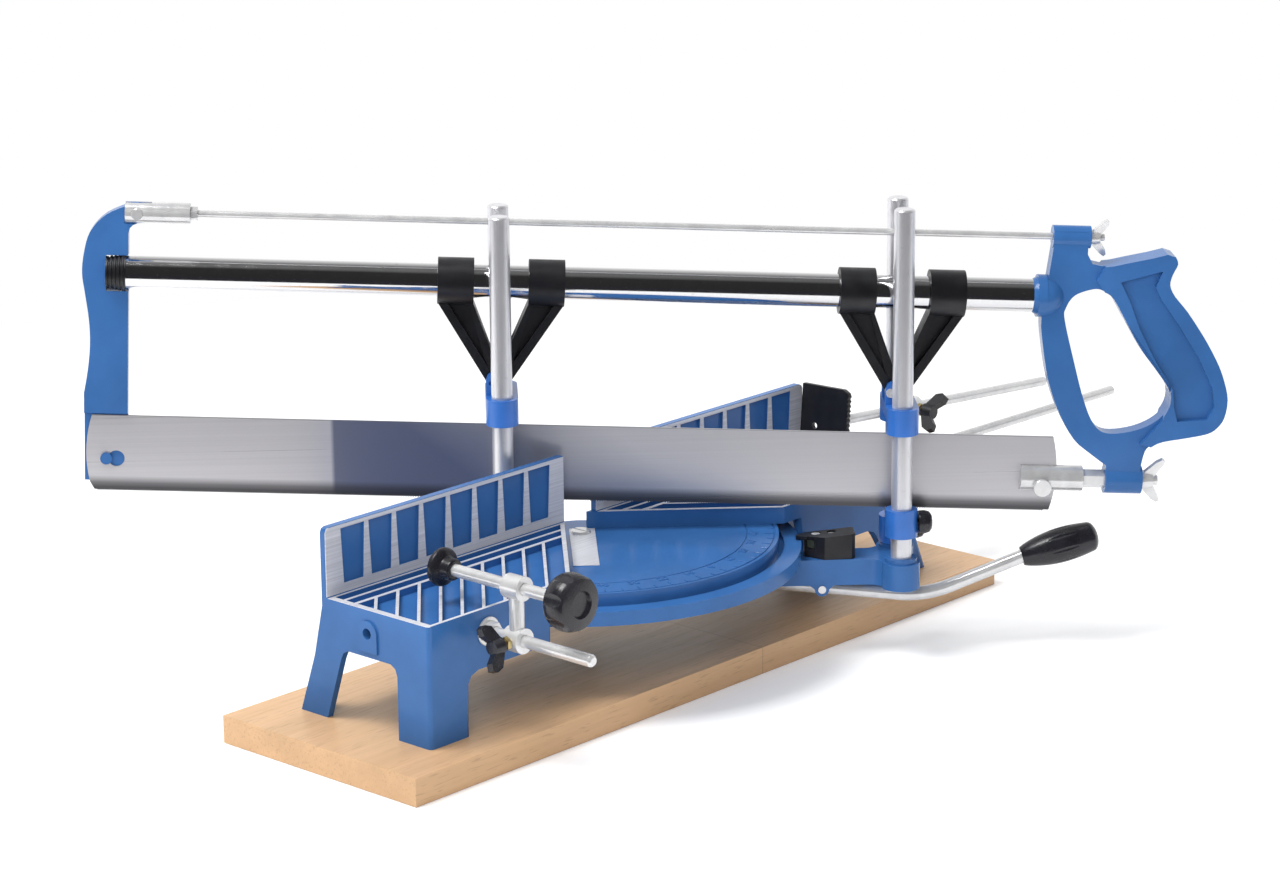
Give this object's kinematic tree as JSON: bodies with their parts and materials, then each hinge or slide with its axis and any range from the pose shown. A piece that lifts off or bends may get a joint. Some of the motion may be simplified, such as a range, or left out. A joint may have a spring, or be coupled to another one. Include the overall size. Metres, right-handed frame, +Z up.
{
  "type": "manual mitre saw",
  "caption": "Hand mitre saw: framed blade on four guide posts that swing on a protractor plate between two fenced tables on a wooden board, with work clamp and length stop.",
  "frame": {"origin": "the point where the mitre pivot axis meets the underside of the board; the fence face is the plane y = 0", "axes": "+Z up along the mitre pivot; +X along the board towards the length stop; +Y away from the operator, behind the fence"},
  "size_m": [0.722, 0.475, 0.2757],
  "materials": {
    "beech": "veneered, sealed",
    "blue_enamel": "gloss enamel on cast metal",
    "blue_plastic": "moulded",
    "black_plastic": "moulded",
    "zinc": "bright zinc plated",
    "chromed_post": "polished round bar",
    "chromed_tube": "polished tube",
    "blade_steel": "ground lengthwise",
    "brass": "turned"
  },
  "bodies": {
    "base": {"board": "beech", "board_screws": "zinc", "left_table": "blue_enamel", "right_table": "blue_enamel", "protractor_plate": "blue_enamel", "plate_screws": "zinc", "pivot_bolt": "zinc", "pivot_nut": "zinc", "clamp_bar": "zinc", "clamp_bar_nut": "zinc", "stop_bar": "zinc"},
    "arm": {"swing_arm": "blue_enamel", "rear_post_near": "chromed_post", "rear_post_far": "chromed_post", "front_post_near": "chromed_post", "front_post_far": "chromed_post", "detent_block": "black_plastic", "detent_screws": "zinc", "detent_pin": "brass", "lever_pin": "zinc"},
    "lever": {"release_lever": "zinc", "lever_grip": "black_plastic"},
    "collar_near": {"depth_collar_near": "blue_plastic"},
    "collar_far": {"depth_collar_far": "blue_plastic"},
    "knob_near": {"depth_knob_near": "black_plastic"},
    "knob_far": {"depth_knob_far": "black_plastic"},
    "front_carriage": {"front_slide": "blue_plastic", "slide_screws": "zinc", "front_pin": "zinc"},
    "rear_carriage": {"rear_slide": "blue_plastic", "rear_pin": "zinc"},
    "brackets": {"front_bracket": "black_plastic", "rear_bracket": "black_plastic"},
    "saw": {"back_tube": "chromed_tube", "tube_end_sleeve": "black_plastic", "toe_plate": "blue_enamel", "saw_handle": "blue_enamel", "saw_blade": "blade_steel", "clevis": "zinc", "clevis_pin": "zinc", "tension_rod": "zinc", "tension_sleeve": "zinc", "tension_nut": "zinc", "tension_rivet": "zinc"},
    "blade_nut": {"blade_wing_nut": "zinc"},
    "tension_wing": {"tension_wing_nut": "zinc"},
    "clamp_slider": {"clamp_link": "zinc"},
    "clamp_lock": {"clamp_wing_stud": "brass", "clamp_wing_grip": "black_plastic"},
    "spindle": {"clamp_spindle": "zinc", "clamp_pad": "black_plastic", "clamp_knob": "black_plastic"},
    "stop_slider": {"stop_link": "zinc"},
    "stop_lock": {"stop_upper_stud": "brass", "stop_upper_grip": "black_plastic"},
    "stop_foot_lock": {"stop_lower_stud": "brass", "stop_lower_grip": "black_plastic"},
    "stop": {"stop_rod": "zinc", "stop_plate": "black_plastic"}
  },
  "joints": [
    {"name": "mitre_swing", "type": "hinge", "parent": "base", "child": "arm", "pos_m": [0, 0, 0], "axis": [0, 0, 1], "range_deg": [-84, 0]},
    {"name": "release_press", "type": "hinge", "parent": "arm", "child": "lever", "pos_m": [0.09871, -0.09871, 0.0406], "axis": [0.7071, 0.7071, 0], "range_deg": [0, 5], "stiffness_Nm_per_rad": 8, "springref_deg": -1.72},
    {"name": "depth_near", "type": "slide", "parent": "arm", "child": "collar_near", "axis": [0, 0, 1], "range_m": [-0.012, 0.03]},
    {"name": "depth_far", "type": "slide", "parent": "arm", "child": "collar_far", "axis": [0, 0, 1], "range_m": [0, 0.04]},
    {"name": "knob_near_turn", "type": "hinge", "parent": "collar_near", "child": "knob_near", "pos_m": [0.11928, -0.14215, 0.082], "axis": [0.7071, -0.7071, 0], "range_deg": [0, 720]},
    {"name": "knob_far_turn", "type": "hinge", "parent": "collar_far", "child": "knob_far", "pos_m": [0.14215, -0.11928, 0.0694], "axis": [0.7071, -0.7071, 0], "range_deg": [0, 720]},
    {"name": "saw_lift", "type": "slide", "parent": "arm", "child": "front_carriage", "axis": [0, 0, 1], "range_m": [-0.0035, 0.09]},
    {"name": "saw_tilt", "type": "hinge", "parent": "front_carriage", "child": "brackets", "pos_m": [0.12929, -0.12929, 0.159], "axis": [-0.7071, -0.7071, 0], "range_deg": [0, 2.65]},
    {"name": "rear_lift", "type": "slide", "parent": "front_carriage", "child": "rear_carriage", "axis": [0, 0, 1], "range_m": [-0.0112, 0.001]},
    {"name": "saw_stroke", "type": "slide", "parent": "brackets", "child": "saw", "axis": [0.7064, -0.7064, -0.0462], "range_m": [-0.038, 0.17]},
    {"name": "blade_tension", "type": "hinge", "parent": "saw", "child": "blade_nut", "pos_m": [0.2307, -0.2307, 0.09972], "axis": [0.7064, -0.7064, -0.0462], "range_deg": [0, 360]},
    {"name": "rod_tension", "type": "hinge", "parent": "saw", "child": "tension_wing", "pos_m": [0.20748, -0.20748, 0.24469], "axis": [0.7064, -0.7064, -0.0462], "range_deg": [0, 360]},
    {"name": "clamp_slide", "type": "slide", "parent": "base", "child": "clamp_slider", "axis": [0, -1, 0], "range_m": [-0.008, 0.0085]},
    {"name": "clamp_lock_turn", "type": "hinge", "parent": "clamp_slider", "child": "clamp_lock", "pos_m": [-0.1565, -0.0995, 0.072], "axis": [-1, 0, 0], "range_deg": [0, 360]},
    {"name": "clamp_screw", "type": "slide", "parent": "clamp_slider", "child": "spindle", "axis": [0, 1, 0], "range_m": [0, 0.02]},
    {"name": "stop_slide", "type": "slide", "parent": "base", "child": "stop_slider", "axis": [0.9998, 0, -0.0175], "range_m": [-0.03, 0.2]},
    {"name": "stop_lock_turn", "type": "hinge", "parent": "stop_slider", "child": "stop_lock", "pos_m": [0.2675, -0.0315, 0.10084], "axis": [0, 1, 0], "range_deg": [0, 360]},
    {"name": "stop_foot_lock_turn", "type": "hinge", "parent": "stop_slider", "child": "stop_foot_lock", "pos_m": [0.26699, -0.0315, 0.07165], "axis": [0, 1, 0], "range_deg": [0, 360]},
    {"name": "stop_reach", "type": "slide", "parent": "stop_slider", "child": "stop", "axis": [0.9968, 0, -0.0802], "range_m": [-0.1, 0.04]}
  ],
  "couplings": [
    {"joint": "rear_lift", "follows": "saw_tilt", "m_per_rad": -0.2288}
  ]
}
